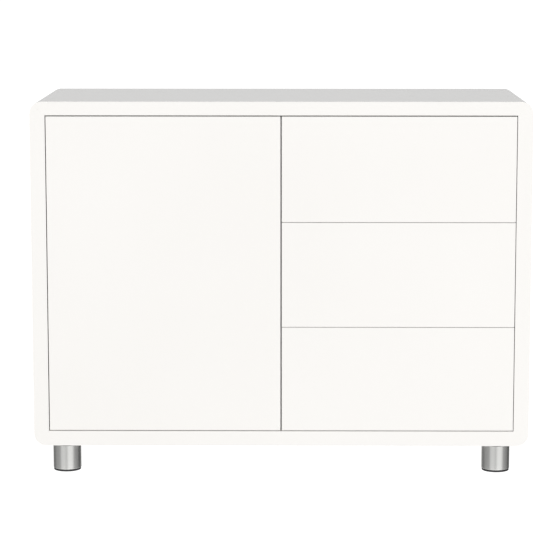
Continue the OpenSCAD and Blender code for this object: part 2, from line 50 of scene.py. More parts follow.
# Modelling: what counts as a sharp edge, the same point, the same plane, and a flat face
SHARP_ANGLE = math.radians(30)
SMOOTH_ANGLE = math.radians(40)
SCREW_SMOOTH_ANGLE = math.radians(35)
SAME_PLACE = 0.02 * MM
MERGE_DISTANCE = 0.001 * MM
CAD_MERGE_DISTANCE = 0.002 * MM
CAD_FLAT_ANGLE = math.radians(0.5)
ALIGNED = 0.99

# Modelling: how many steps round an edge takes
EDGE_STEPS = 3
SMALL_EDGE_STEPS = 2
RETAINER_EDGE_STEPS = 1
FOOT_ROUND_STEPS = 6

# Edges and finishes of the boards
CORNER_R = 26 * MM
CORNER_STEPS = 18
LACQUER_EDGE = 0.9 * MM
SEAM_SHARE = 0.12
BAND_EDGE = 0.7 * MM
THIN_EDGE = 0.25 * MM
SHEET_EDGE = 0.35 * MM
GROOVE_PLAY = 0.2 * MM

# Feet
FOOT_SIDES = 96
FOOT_ROUND = 1.8 * MM
FOOT_TOP_EDGE = 0.4 * MM
FOOT_NECK_H = 3.5 * MM
FOOT_NECK_IN = 2 * MM
FOOT_LID_T = 6 * MM
# The black ring in each foot's neck is painted shadow of the carcass on the top of the foot
SHADOW_RING_IN = 0.5 * MM
SHADOW_RING_EDGE = 0.3 * MM
FEET = ("foot_front_left", "foot_front_right", "foot_rear_left", "foot_rear_right")
FOOT_WALL = 2 * MM
GLIDE_H = 4 * MM
GLIDE_EDGE = 0.7 * MM
GLIDE_PLUG_IN = 1.1 * MM
GLIDE_RECESS_IN = 5 * MM
GLIDE_RECESS_H = 0.8 * MM

# Shelf supports
PIN_D = 5 * MM
PIN_PAD_W = 12 * MM
PIN_STEP = 32 * MM
PIN_STEPS = 2
PIN_HOLE_DEPTH = 9 * MM
PIN_HOLE_PLAY = 0.05 * MM
PIN_HOLE_SIDES = 24

# Screws
SCREW_D = 3.5 * MM
SCREW_HEAD_H = 1.6 * MM
SCREW_CROSS = (3.6 * MM, 0.8 * MM, 0.9 * MM)
SCREW_DOME = 0.9 * MM
SCREW_SIDES = 24
SHANK_SIDES = 16
HEAD_OVER_SHANK = 1.3
SCREW_TWIST = 37

# Hinges
CUP_PLAY = 0.1 * MM
CUP_SIDES = 72
CUP_EDGE = 0.2 * MM
ADJUSTER_HEIGHT = 6 * MM
ADJUSTER_STEPS = (16 * MM, 30 * MM)
ADJUSTER_FROM_REAR = 40 * MM
ADJUSTER_BACK = 4 * MM
ADJUSTER_TWIST = 20

# Edges of the moulded and pressed fittings
HOUSING_EDGE = 0.6 * MM
PLUNGER_EDGE = 0.8 * MM
STRIKE_EDGE = 0.25 * MM
PIN_EDGE = 0.4 * MM

# Runners
BALL_D = 4.2 * MM
BALLS_PER_ROW = 9
BALL_STEP = 16 * MM
BALL_SEGMENTS = 12
BALL_RINGS = 7
RETAINER_T = 0.8 * MM
RETAINER_HALF_W = 2.4 * MM
RETAINER_END = 4 * MM
RETAINER_EDGE = 0.2 * MM
RAIL_SHEET = 1.2 * MM
OUTER_ROW_START = 12 * MM
INNER_ROW_START = 10 * MM

# Studio
FLOOR_SIZE = 40
FLOOR_TONE = 0.9
FLOOR_GLOW = 0.88
FLOOR_GLOW_SEEN = 1.3
FLOOR_GLOW_SHARE = 0.8
BACKDROP_GLOW = 1.1
BELOW_FROM = -0.3
BELOW_FULL = -0.8
BELOW_GLOW = 0.6
KEY_LIGHT = {"place": (2.4, -8.2, 3.8), "size": 6.0, "power": 70}
FRONT_LIGHT = {"place": (0.0, -14.0, 4.4), "size": 3.6, "power": 335}
CAMERA_PLACE = (0.033, -4.8, 1.133)
CAMERA_DOWN = 7.98
CAMERA_YAW = 0.44
CAMERA_LENS = 142.3
CAMERA_SHIFT = -0.06


# ---------- tools of the bench ----------

def clear_selection():
    """Nothing is selected and nothing is in edit mode."""
    if bpy.context.object and bpy.context.object.mode != "OBJECT":
        bpy.ops.object.mode_set(mode="OBJECT")
    bpy.ops.object.select_all(action="DESELECT")


def make_active(obj):
    clear_selection()
    obj.select_set(True)
    bpy.context.view_layer.objects.active = obj


def settle(name):
    """Names the active object and leaves its place in its mesh."""
    obj = bpy.context.object
    obj.name = name
    obj.data.name = name
    bpy.ops.object.transform_apply(location=True, rotation=True, scale=True)
    return obj


def block(name, lo, hi):
    clear_selection()
    lo, hi = Vector(lo), Vector(hi)
    bpy.ops.mesh.primitive_cube_add(size=1, location=(lo + hi) / 2, scale=hi - lo)
    return settle(name)


def rod(name, centre, radius, length, axis, sides):
    """A cylinder whose middle is at centre."""
    clear_selection()
    turn = {"X": (0, math.pi / 2, 0), "Y": (math.pi / 2, 0, 0), "Z": (0, 0, 0)}[axis]
    bpy.ops.mesh.primitive_cylinder_add(
        vertices=sides, radius=radius, depth=length, location=centre, rotation=turn)
    return settle(name)


def pick_edges(obj, test):
    """In edit mode: selects the edges that pass the test."""
    bpy.ops.mesh.select_mode(type="EDGE")
    bpy.ops.mesh.select_all(action="DESELECT")
    bm = bmesh.from_edit_mesh(obj.data)
    for edge in bm.edges:
        edge.select_set(bool(test(edge)))
    bmesh.update_edit_mesh(obj.data)


def pick_faces(obj, test):
    """In edit mode: selects the faces that pass the test."""
    bpy.ops.mesh.select_mode(type="FACE")
    bpy.ops.mesh.select_all(action="DESELECT")
    bm = bmesh.from_edit_mesh(obj.data)
    for face in bm.faces:
        face.select_set(bool(test(face)))
    bmesh.update_edit_mesh(obj.data)


def is_sharp(edge):
    return len(edge.link_faces) == 2 and edge.calc_face_angle(0) > SHARP_ANGLE


def near(a, b):
    return abs(a - b) < SAME_PLACE


def cut(obj, *cutters):
    """Takes the cutters out of the piece and throws them away."""
    for cutter in cutters:
        make_active(obj)
        modifier = obj.modifiers.new("cut", "BOOLEAN")
        modifier.operation = "DIFFERENCE"
        modifier.solver = "EXACT"
        modifier.object = cutter
        bpy.ops.object.modifier_apply(modifier=modifier.name)
        bpy.data.objects.remove(cutter)
    return obj


def ease(obj, width, share=lambda edge: 1.0, steps=EDGE_STEPS):
    """Rounds the sharp edges. share(edge) gives each edge its part of the width, or 0 to keep it."""
    make_active(obj)
    bpy.ops.object.mode_set(mode="EDIT")
    for value in (1.0, SEAM_SHARE):
        pick_edges(obj, lambda e: is_sharp(e) and share(e) == value)
        bpy.ops.transform.edge_bevelweight(value=value)
    pick_edges(obj, lambda e: is_sharp(e) and share(e) == 0)
    bpy.ops.mesh.mark_sharp()
    bpy.ops.object.mode_set(mode="OBJECT")
    bpy.ops.object.shade_smooth()
    modifier = obj.modifiers.new("ease", "BEVEL")
    modifier.width = width
    modifier.segments = steps
    modifier.limit_method = "WEIGHT"
    modifier.harden_normals = True
    modifier.use_clamp_overlap = True
    bpy.ops.object.modifier_apply(modifier=modifier.name)
    return obj


def join(name, pieces):
    make_active(pieces[0])
    for piece in pieces[1:]:
        piece.select_set(True)
    bpy.ops.object.join()
    return settle(name)


def copy_at(obj, matrix):
    """A copy with its own mesh, at another place."""
    make_active(obj)
    bpy.ops.object.duplicate(linked=False)
    twin = bpy.context.object
    twin.matrix_world = matrix
    bpy.ops.object.transform_apply(location=True, rotation=True, scale=True)
    return twin


def merged_copy(node, name):
    """A copy of a CAD node's mesh, with its triangles joined into clean faces."""
    make_active(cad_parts[node])
    bpy.ops.object.duplicate(linked=False)
    obj = bpy.context.object
    obj.parent = None
    obj.data.materials.clear()
    settle(name)
    bpy.ops.object.mode_set(mode="EDIT")
    bpy.ops.mesh.select_all(action="SELECT")
    bpy.ops.mesh.remove_doubles(threshold=CAD_MERGE_DISTANCE)
    bpy.ops.mesh.dissolve_limited(angle_limit=CAD_FLAT_ANGLE)
    bpy.ops.object.mode_set(mode="OBJECT")
    return obj


def islands(node):
    """The vertices of each separate solid of a CAD node, as lists of points."""
    obj = merged_copy(node, "islands")
    make_active(obj)
    bpy.ops.object.mode_set(mode="EDIT")
    bpy.ops.mesh.select_all(action="SELECT")
    bpy.ops.mesh.separate(type="LOOSE")
    bpy.ops.object.mode_set(mode="OBJECT")
    parts = list(bpy.context.selected_objects)
    points = [[v.co.copy() for v in part.data.vertices] for part in parts]
    for part in parts:
        bpy.data.objects.remove(part)
    return sorted(points, key=lambda p: tuple(round(c, 4) for c in sum(p, Vector()) / len(p)))


def box_of(points):
    lo = Vector(min(p[i] for p in points) for i in range(3))
    hi = Vector(max(p[i] for p in points) for i in range(3))
    return lo, hi


def hand_over(obj, body, slot, material, *nodes):
    """The finished piece gets its material, rides on its body and stands for its CAD nodes."""
    obj.data.materials.clear()
    obj.data.materials.append(material)
    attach(obj, body)
    if nodes:
        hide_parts(*nodes)
    return obj


# ---------- effects shared by the finishes ----------

def new_group(name, inputs, outputs):
    """An empty node group with float inputs {name: default} and the named outputs."""
    group = bpy.data.node_groups.new(name, "ShaderNodeTree")
    group.interface.new_socket("Vector", in_out="INPUT", socket_type="NodeSocketVector")
    for key, value in inputs.items():
        socket = group.interface.new_socket(key, in_out="INPUT", socket_type="NodeSocketFloat")
        socket.default_value = value
    for key in outputs:
        kind = "NodeSocketColor" if key == "Color" else "NodeSocketFloat"
        group.interface.new_socket(key, in_out="OUTPUT", socket_type=kind)
    return group, group.nodes.new("NodeGroupInput"), group.nodes.new("NodeGroupOutput")


def add_node(tree, kind, **values):
    """A node with properties (lower case) and input values (given as a dict named inputs)."""
    node = tree.nodes.new(kind)
    for key, value in values.pop("inputs", {}).items():
        node.inputs[key].default_value = value
    for key, value in values.items():
        setattr(node, key, value)
    return node


def grain_group():
    """Fine even grain: Height for a bump and a Mask from 0 to 1."""
    group, given, out = new_group("fine_grain", {"Scale": 400.0, "Detail": 2.0}, ["Height", "Mask"])
    noise = add_node(group, "ShaderNodeTexNoise", inputs={"Roughness": 0.55})
    spread = add_node(group, "ShaderNodeMapRange", inputs={"From Min": 0.35, "From Max": 0.65})
    group.links.new(given.outputs["Vector"], noise.inputs["Vector"])
    group.links.new(given.outputs["Scale"], noise.inputs["Scale"])
    group.links.new(given.outputs["Detail"], noise.inputs["Detail"])
    group.links.new(noise.outputs["Fac"], spread.inputs["Value"])
    group.links.new(noise.outputs["Fac"], out.inputs["Height"])
    group.links.new(spread.outputs["Result"], out.inputs["Mask"])
    return group


def drift_group():
    """Slow uneven drift over a whole board or casting, from 0 to 1."""
    group, given, out = new_group("slow_drift", {"Scale": 3.0}, ["Mask"])
    noise = add_node(group, "ShaderNodeTexNoise", inputs={"Detail": 3.0, "Roughness": 0.45})
    spread = add_node(group, "ShaderNodeMapRange", inputs={"From Min": 0.3, "From Max": 0.7})
    group.links.new(given.outputs["Vector"], noise.inputs["Vector"])
    group.links.new(given.outputs["Scale"], noise.inputs["Scale"])
    group.links.new(noise.outputs["Fac"], spread.inputs["Value"])
    group.links.new(spread.outputs["Result"], out.inputs["Mask"])
    return group


def brushing_group():
    """Fine lines that run round an upright piece: Height and a Mask."""
    group, given, out = new_group("brushing", {"Lines": 2600.0, "Run": 14.0}, ["Height", "Mask"])
    stretch = add_node(group, "ShaderNodeCombineXYZ")
    scale = add_node(group, "ShaderNodeVectorMath", operation="MULTIPLY")
    noise = add_node(group, "ShaderNodeTexNoise", inputs={"Scale": 1.0, "Detail": 3.0, "Roughness": 0.6})
    group.links.new(given.outputs["Run"], stretch.inputs["X"])
    group.links.new(given.outputs["Run"], stretch.inputs["Y"])
    group.links.new(given.outputs["Lines"], stretch.inputs["Z"])
    group.links.new(given.outputs["Vector"], scale.inputs[0])
    group.links.new(stretch.outputs["Vector"], scale.inputs[1])
    group.links.new(scale.outputs["Vector"], noise.inputs["Vector"])
    group.links.new(noise.outputs["Fac"], out.inputs["Height"])
    group.links.new(noise.outputs["Fac"], out.inputs["Mask"])
    return group


GRAIN = grain_group()
DRIFT = drift_group()
BRUSHING = brushing_group()


class Finish:
    """A material with a Principled shader and helpers that wire the shared effects to it."""

    def __init__(self, name, **constants):
        self.material = bpy.data.materials.new(name)
        self.material.use_nodes = True
        self.tree = self.material.node_tree
        self.shader = self.tree.nodes["Principled BSDF"]
        self.place = add_node(self.tree, "ShaderNodeTexCoord").outputs["Object"]
        for key, value in constants.items():
            self.shader.inputs[key.replace("_", " ")].default_value = value

    def effect(self, group, **values):
        node = add_node(self.tree, "ShaderNodeGroup", node_tree=group)
        for key, value in values.items():
            node.inputs[key].default_value = value
        self.tree.links.new(self.place, node.inputs["Vector"])
        return node

    def tint(self, mask, low, high):
        """Base colour between two tones."""
        mix = add_node(self.tree, "ShaderNodeMix", data_type="RGBA")
        mix.inputs[6].default_value = (*low, 1)
        mix.inputs[7].default_value = (*high, 1)
        self.tree.links.new(mask, mix.inputs[0])
        self.tree.links.new(mix.outputs[2], self.shader.inputs["Base Color"])

    def shine(self, mask, low, high):
        """Roughness between two values."""
        spread = add_node(self.tree, "ShaderNodeMapRange", inputs={"To Min": low, "To Max": high})
        self.tree.links.new(mask, spread.inputs["Value"])
        self.tree.links.new(spread.outputs["Result"], self.shader.inputs["Roughness"])

    def relief(self, height, depth, strength=1.0):
        bump = add_node(self.tree, "ShaderNodeBump", inputs={"Distance": depth, "Strength": strength})
        self.tree.links.new(height, bump.inputs["Height"])
        self.tree.links.new(bump.outputs["Normal"], self.shader.inputs["Normal"])


def gloss_lacquer():
    """Sprayed and polished white lacquer: a faint orange peel under a clear hard gloss."""
    finish = Finish("gloss_lacquer", Coat_Weight=0.85, Coat_Roughness=0.04, Coat_IOR=1.5)
    drift = finish.effect(DRIFT, Scale=2.2)
    peel = finish.effect(GRAIN, Scale=320.0, Detail=1.0)
    finish.tint(drift.outputs["Mask"], (0.945, 0.927, 0.898), (0.96, 0.943, 0.916))
    finish.shine(drift.outputs["Mask"], 0.30, 0.36)
    finish.relief(peel.outputs["Height"], 0.03 * MM, 0.25)
    return finish.material


def satin_melamine():
    """White melamine face of the inner boards, with its fine pearl texture."""
    finish = Finish("satin_melamine")
    drift = finish.effect(DRIFT, Scale=4.0)
    pearl = finish.effect(GRAIN, Scale=1400.0, Detail=2.0)
    finish.tint(drift.outputs["Mask"], (0.865, 0.86, 0.845), (0.89, 0.886, 0.874))
    finish.shine(pearl.outputs["Mask"], 0.36, 0.5)
    finish.relief(pearl.outputs["Height"], 0.05 * MM, 0.5)
    return finish.material


def painted_hardboard():
    """Thin hardboard with a printed white face, its fibres just showing."""
    finish = Finish("painted_hardboard")
    fibre = finish.effect(GRAIN, Scale=650.0, Detail=5.0)
    finish.tint(fibre.outputs["Mask"], (0.80, 0.79, 0.765), (0.86, 0.852, 0.835))
    finish.shine(fibre.outputs["Mask"], 0.5, 0.68)
    finish.relief(fibre.outputs["Height"], 0.08 * MM, 0.6)
    return finish.material


def brushed_steel():
    """Stainless steel, brushed round the foot."""
    finish = Finish("brushed_steel", Metallic=1.0)
    lines = finish.effect(BRUSHING)
    finish.tint(lines.outputs["Mask"], (0.67, 0.67, 0.65), (0.75, 0.75, 0.735))
    finish.shine(lines.outputs["Mask"], 0.2, 0.3)
    finish.relief(lines.outputs["Height"], 0.02 * MM, 0.2)
    return finish.material


def zinc_plate():
    """Bright zinc on pressed steel, with its slight clouding."""
    finish = Finish("zinc_plate", Metallic=1.0)
    cloud = finish.effect(DRIFT, Scale=45.0)
    grain = finish.effect(GRAIN, Scale=1800.0, Detail=3.0)
    finish.tint(cloud.outputs["Mask"], (0.60, 0.62, 0.65), (0.74, 0.735, 0.71))
    finish.shine(grain.outputs["Mask"], 0.26, 0.4)
    finish.relief(grain.outputs["Height"], 0.02 * MM, 0.4)
    return finish.material


def nickel_plate():
    """Polished nickel of the hinges."""
    finish = Finish("nickel_plate", Metallic=1.0)
    cloud = finish.effect(DRIFT, Scale=60.0)
    grain = finish.effect(GRAIN, Scale=2400.0, Detail=2.0)
    finish.tint(cloud.outputs["Mask"], (0.70, 0.68, 0.64), (0.78, 0.765, 0.73))
    finish.shine(grain.outputs["Mask"], 0.16, 0.27)
    finish.relief(grain.outputs["Height"], 0.01 * MM, 0.3)
    return finish.material


def ball_steel():
    finish = Finish("ball_steel", Metallic=1.0)
    cloud = finish.effect(DRIFT, Scale=90.0)
    finish.tint(cloud.outputs["Mask"], (0.72, 0.72, 0.72), (0.80, 0.80, 0.80))
    finish.shine(cloud.outputs["Mask"], 0.07, 0.13)
    return finish.material


def turned_brass():
    finish = Finish("turned_brass", Metallic=1.0)
    lines = finish.effect(BRUSHING, Lines=3000.0)
    finish.tint(lines.outputs["Mask"], (0.62, 0.46, 0.2), (0.78, 0.6, 0.3))
    finish.shine(lines.outputs["Mask"], 0.22, 0.36)
    return finish.material


def moulded_plastic(name, dark, light, low, high):
    """Injection moulded plastic with a spark-eroded grain."""
    finish = Finish(name)
    grain = finish.effect(GRAIN, Scale=2200.0, Detail=3.0)
    finish.tint(grain.outputs["Mask"], dark, light)
    finish.shine(grain.outputs["Mask"], low, high)
    finish.relief(grain.outputs["Height"], 0.04 * MM, 0.5)
    return finish.material


def beech():
    """Beech of the dowels."""
    finish = Finish("beech")
    pore = finish.effect(GRAIN, Scale=900.0, Detail=5.0)
    finish.tint(pore.outputs["Mask"], (0.55, 0.37, 0.2), (0.72, 0.53, 0.33))
    finish.shine(pore.outputs["Mask"], 0.5, 0.7)
    finish.relief(pore.outputs["Height"], 0.1 * MM, 0.5)
    return finish.material


LACQUER = gloss_lacquer()
MELAMINE = satin_melamine()
HARDBOARD = painted_hardboard()
STEEL = brushed_steel()
ZINC = zinc_plate()
NICKEL = nickel_plate()
BALLS = ball_steel()
BRASS = turned_brass()
BLACK = moulded_plastic("black_plastic", (0.012, 0.012, 0.013), (0.03, 0.03, 0.032), 0.38, 0.55)
GREY = moulded_plastic("grey_plastic", (0.55, 0.55, 0.55), (0.62, 0.62, 0.62), 0.36, 0.5)
BEECH = beech()


# ---------- boards ----------

def box_edges_only(lo, hi):
    """A share test: the board's own twelve edges, and no edge of a hole or groove."""
    def share(edge):
        outer = 0
        for axis in range(3):
            for side in (lo[axis], hi[axis]):
                outer += all(near(v.co[axis], side) for v in edge.verts)
        return 1.0 if outer >= 2 else 0.0
    return share


def board(node, edge, *cutters):
    """A sawn board with eased edges, the size of its CAD node."""
    lo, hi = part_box(node)
    obj = block(node + "_board", lo, hi)
    cut(obj, *cutters)
    return ease(obj, edge, box_edges_only(lo, hi))


def pin_hole_cutter(face_x, to_left):
    """The rows of shelf pin holes in one wall, as one cutter."""
    lo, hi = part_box("shelf_pins")
    middle_z = lo.z + PIN_D / 2
    centre_x = face_x + (-1 if to_left else 1) * PIN_HOLE_DEPTH / 2
    radius = PIN_D / 2 + PIN_HOLE_PLAY
    holes = [
        rod("hole", (centre_x, y, middle_z + k * PIN_STEP), radius, PIN_HOLE_DEPTH,
            "X", PIN_HOLE_SIDES)
        for y in (lo.y + PIN_PAD_W / 2, hi.y - PIN_PAD_W / 2)
        for k in range(-PIN_STEPS, PIN_STEPS + 1)
    ]
    return join("holes", holes)


def panel_groove_cutter(node):
    """Room for a thin panel that is let into the boards round it."""
    lo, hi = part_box(node)
    play = Vector((GROOVE_PLAY, GROOVE_PLAY, GROOVE_PLAY))
    return block("groove", lo - play, hi + play)


# ---------- the mitred frame ----------

TOP_LO, TOP_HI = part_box("top_panel")
BOTTOM_LO, BOTTOM_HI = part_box("bottom_panel")
LEFT_LO, LEFT_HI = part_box("left_side_panel")
RIGHT_LO, RIGHT_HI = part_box("right_side_panel")
OUTER_LO = Vector((LEFT_LO.x, TOP_LO.y, BOTTOM_LO.z))
OUTER_HI = Vector((RIGHT_HI.x, TOP_HI.y, TOP_HI.z))
INNER_LO = Vector((LEFT_HI.x, 0, BOTTOM_HI.z))
INNER_HI = Vector((RIGHT_LO.x, 0, TOP_LO.z))


def mitre(corner_x, corner_z):
    """A mitre's plane: a point on it, and its normal towards the top or bottom panel."""
    outer_x, inner_x = ((OUTER_LO.x, INNER_LO.x), (OUTER_HI.x, INNER_HI.x))[corner_x]
    outer_z, inner_z = ((OUTER_LO.z, INNER_LO.z), (OUTER_HI.z, INNER_HI.z))[corner_z]
    along = Vector((inner_x - outer_x, 0, inner_z - outer_z)).normalized()
    normal = along.cross(Vector((0, 1, 0)))
    if (normal.z > 0) != bool(corner_z):
        normal = -normal
    return Vector((outer_x, 0, outer_z)), normal


def frame_panel(node, planes, inner_point, inner_normal, *cutters):
    """One panel of the frame, sliced from the rounded outer box. Each plane keeps its far side."""
    obj = block(node + "_board", OUTER_LO, OUTER_HI)
    bpy.ops.object.mode_set(mode="EDIT")
    pick_edges(obj, lambda e: abs((e.verts[0].co - e.verts[1].co).normalized().y) > ALIGNED)
    bpy.ops.mesh.bevel(offset=CORNER_R, segments=CORNER_STEPS, profile=0.5, affect="EDGES")
    for point, normal in [*planes, (inner_point, inner_normal)]:
        bpy.ops.mesh.select_all(action="SELECT")
        bpy.ops.mesh.bisect(plane_co=point, plane_no=normal, use_fill=True, clear_inner=True)
    bpy.ops.mesh.select_all(action="SELECT")
    bpy.ops.mesh.remove_doubles(threshold=MERGE_DISTANCE)
    bpy.ops.mesh.normals_make_consistent(inside=False)
    bpy.ops.object.mode_set(mode="OBJECT")
    cut(obj, *cutters)

    def share(edge):
        ends = [v.co for v in edge.verts]
        for point, normal in planes:
            if all(abs((end - point).dot(normal)) < SAME_PLACE for end in ends):
                return SEAM_SHARE
        outside = any(all(near(end.y, y) for end in ends) for y in (OUTER_LO.y, OUTER_HI.y))
        return 1.0 if outside else 0.0

    return ease(obj, LACQUER_EDGE, share)


def carcass_frame():
    bottom_left, bottom_right = mitre(0, 0), mitre(1, 0)
    top_left, top_right = mitre(0, 1), mitre(1, 1)

    def turned(plane):
        return plane[0], -plane[1]

    up, right = Vector((0, 0, 1)), Vector((1, 0, 0))
    pieces = {
        "top_panel": ([top_left, top_right], INNER_HI, up, []),
        "bottom_panel": ([bottom_left, bottom_right], INNER_LO, -up, []),
        "left_side_panel": ([turned(bottom_left), turned(top_left)], INNER_LO, -right,
                            [pin_hole_cutter(INNER_LO.x, True)]),
        "right_side_panel": ([turned(bottom_right), turned(top_right)], INNER_HI, right, []),
    }
    for node, (planes, point, normal, cutters) in pieces.items():
        obj = frame_panel(node, planes, point, normal, panel_groove_cutter("back_panel"), *cutters)
        hand_over(obj, "carcass", "lacquer", LACQUER, node)


def inner_boards():
    holes = pin_hole_cutter(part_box("centre_divider")[0].x, False)
    divider = board("centre_divider", BAND_EDGE, holes)
    hand_over(divider, "carcass", "melamine", MELAMINE, "centre_divider")
    hand_over(board("shelf", BAND_EDGE), "carcass", "melamine", MELAMINE, "shelf")
    hand_over(board("back_panel", THIN_EDGE), "carcass", "hardboard", HARDBOARD, "back_panel")


def door():
    """The door, with a bore for each hinge cup that runs out through its back."""
    cups = []
    bore_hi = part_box("door_panel")[1].y + MM
    for node in ("hinge_cup_upper", "hinge_cup_lower"):
        lo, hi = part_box(node)
        bore_lo = lo.y - CUP_PLAY
        centre = ((lo.x + hi.x) / 2, (bore_lo + bore_hi) / 2, (lo.z + hi.z) / 2)
        radius = (hi.x - lo.x) / 2 + CUP_PLAY
        cups.append(rod("cup_bore", centre, radius, bore_hi - bore_lo, "Y", CUP_SIDES))
    obj = board("door_panel", LACQUER_EDGE, *cups)
    hand_over(obj, "door", "lacquer", LACQUER, "door_panel")


def drawer(level):
    body = "drawer_" + level
    front = "drawer_front_" + level
    bottom = "drawer_bottom_" + level
    obj = board(front, LACQUER_EDGE, panel_groove_cutter(bottom))
    hand_over(obj, body, "lacquer", LACQUER, front)
    for part in ("left_side", "right_side", "back"):
        node = f"drawer_{part}_{level}"
        obj = board(node, BAND_EDGE, panel_groove_cutter(bottom))
        hand_over(obj, body, "melamine", MELAMINE, node)
    hand_over(board(bottom, THIN_EDGE), body, "hardboard", HARDBOARD, bottom)


# ---------- feet ----------

def foot_sleeve(node):
    """Steel tube with a rolled lower edge, open below for the glide, and a narrower neck on top."""
    lo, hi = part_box(node)
    shoulder = hi.z - FOOT_NECK_H
    centre = Vector(((lo.x + hi.x) / 2, (lo.y + hi.y) / 2, (lo.z + shoulder) / 2))
    radius = (hi.x - lo.x) / 2
    obj = rod(node + "_sleeve", centre, radius, shoulder - lo.z, "Z", FOOT_SIDES)
    bpy.ops.object.mode_set(mode="EDIT")
    pick_edges(obj, lambda e: all(near(v.co.z, shoulder) for v in e.verts))
    bpy.ops.mesh.bevel(offset=FOOT_TOP_EDGE, segments=EDGE_STEPS, affect="EDGES")
    pick_faces(obj, lambda f: f.normal.z > ALIGNED)
    bpy.ops.mesh.inset(thickness=FOOT_NECK_IN - FOOT_TOP_EDGE)
    bpy.ops.mesh.extrude_region_move(TRANSFORM_OT_translate={"value": (0, 0, FOOT_NECK_H)})
    pick_edges(obj, lambda e: all(near(v.co.z, lo.z) for v in e.verts))
    bpy.ops.mesh.bevel(offset=FOOT_ROUND, segments=FOOT_ROUND_STEPS, affect="EDGES")
    pick_faces(obj, lambda f: f.normal.z < -ALIGNED and near(f.calc_center_median().z, lo.z))
    bpy.ops.mesh.inset(thickness=FOOT_WALL - FOOT_ROUND)
    bpy.ops.mesh.extrude_region_move(
        TRANSFORM_OT_translate={"value": (0, 0, hi.z - lo.z - FOOT_LID_T)})
    bpy.ops.object.mode_set(mode="OBJECT")
    bpy.ops.object.shade_smooth_by_angle(angle=SMOOTH_ANGLE)
    hand_over(obj, "carcass", "brushed_steel", STEEL, node)


def glide(lo, hi):
    """Plastic glide: a rounded foot plate, its plug inside the sleeve, and a recess below."""
    centre = (lo + hi) / 2
    radius = (hi.x - lo.x) / 2
    obj = rod("glide", (centre.x, centre.y, lo.z + GLIDE_H / 2), radius, GLIDE_H, "Z", FOOT_SIDES)
    bpy.ops.object.mode_set(mode="EDIT")
    pick_edges(obj, is_sharp)
    bpy.ops.mesh.bevel(offset=GLIDE_EDGE, segments=EDGE_STEPS, affect="EDGES")
    pick_faces(obj, lambda f: f.normal.z > ALIGNED)
    bpy.ops.mesh.inset(thickness=GLIDE_PLUG_IN - GLIDE_EDGE)
    bpy.ops.mesh.extrude_region_move(TRANSFORM_OT_translate={"value": (0, 0, hi.z - lo.z - GLIDE_H)})
    pick_faces(obj, lambda f: f.normal.z < -ALIGNED)
    bpy.ops.mesh.inset(thickness=GLIDE_RECESS_IN)
    bpy.ops.mesh.extrude_region_move(TRANSFORM_OT_translate={"value": (0, 0, GLIDE_RECESS_H)})
    bpy.ops.object.mode_set(mode="OBJECT")
    bpy.ops.object.shade_smooth_by_angle(angle=SMOOTH_ANGLE)
    return obj


def painted_shadow_ring(node):
    """Black ring round a foot's neck, between the sleeve and the carcass. It is painted shadow: a dark
    piece put where the carcass casts its shadow on the top of the foot.
    """
    lo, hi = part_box(node)
    centre = ((lo.x + hi.x) / 2, (lo.y + hi.y) / 2, hi.z - FOOT_NECK_H / 2)
    radius = (hi.x - lo.x) / 2
    ring = rod("painted_shadow_ring", centre, radius - SHADOW_RING_IN, FOOT_NECK_H, "Z", FOOT_SIDES)
    cut(ring, rod("neck", centre, radius - FOOT_NECK_IN, 2 * FOOT_NECK_H, "Z", FOOT_SIDES))
    return ease(ring, SHADOW_RING_EDGE, steps=SMALL_EDGE_STEPS)


def feet():
    for node in FEET:
        foot_sleeve(node)
    glides = [glide(*box_of(points)) for points in islands("foot_glides")]
    hand_over(join("glides", glides), "carcass", "black_plastic", BLACK, "foot_glides")
    # Black rings in the feet's necks: painted shadow of the carcass on the top of each foot
    painted_shadow_rings = [painted_shadow_ring(node) for node in FEET]
    hand_over(join("foot_painted_shadow_rings", painted_shadow_rings), "carcass", "black_plastic", BLACK)


# ---------- fittings ----------

def softened(node, body, slot, material, width=SHEET_EDGE):
    """A pressed or moulded fitting: the CAD shape with its edges rounded."""
    obj = merged_copy(node, node + "_fitting")
    make_active(obj)
    bpy.ops.object.shade_smooth()
    modifier = obj.modifiers.new("ease", "BEVEL")
    modifier.width = width
    modifier.segments = SMALL_EDGE_STEPS
    modifier.limit_method = "ANGLE"
    modifier.angle_limit = SMOOTH_ANGLE
    modifier.harden_normals = True
    modifier.use_clamp_overlap = True
    bpy.ops.object.modifier_apply(modifier=modifier.name)
    return hand_over(obj, body, slot, material, node)


def screw_master():
    """A pan head screw on the origin, pointing down -Z, with a crossed recess."""
    head = rod("screw", (0, 0, SCREW_HEAD_H / 2), SCREW_D, SCREW_HEAD_H, "Z", SCREW_SIDES)
    bpy.ops.object.mode_set(mode="EDIT")
    pick_edges(head, lambda e: all(near(v.co.z, SCREW_HEAD_H) for v in e.verts))
    bpy.ops.mesh.bevel(offset=SCREW_DOME, segments=EDGE_STEPS, affect="EDGES")
    bpy.ops.object.mode_set(mode="OBJECT")
    span, width, depth = SCREW_CROSS
    top = Vector((0, 0, SCREW_HEAD_H))
    for x_size, y_size in ((width, span), (span, width)):
        half = Vector((x_size, y_size, 2 * depth)) / 2
        cut(head, block("slot", top - half, top + half))
    make_active(head)
    bpy.ops.object.shade_smooth_by_angle(angle=SCREW_SMOOTH_ANGLE)
    return head


def screw_seat(points):
    """Where a CAD screw's head rests, and the direction from its tip to its head."""
    lo, hi = box_of(points)
    size = hi - lo
    axis = max(range(3), key=lambda i: size[i])
    centre = (lo + hi) / 2
    across = [i for i in range(3) if i != axis]
    shank_edge = HEAD_OVER_SHANK * SCREW_D / 2
    wide = [p for p in points if max(abs(p[i] - centre[i]) for i in across) > shank_edge]
    wide_lo, wide_hi = box_of(wide)
    towards_head = 1 if (wide_lo[axis] + wide_hi[axis]) / 2 > centre[axis] else -1
    seat = centre.copy()
    seat[axis] = wide_lo[axis] if towards_head > 0 else wide_hi[axis]
    direction = Vector((0, 0, 0))
    direction[axis] = towards_head
    return seat, direction, size[axis] - SCREW_HEAD_H


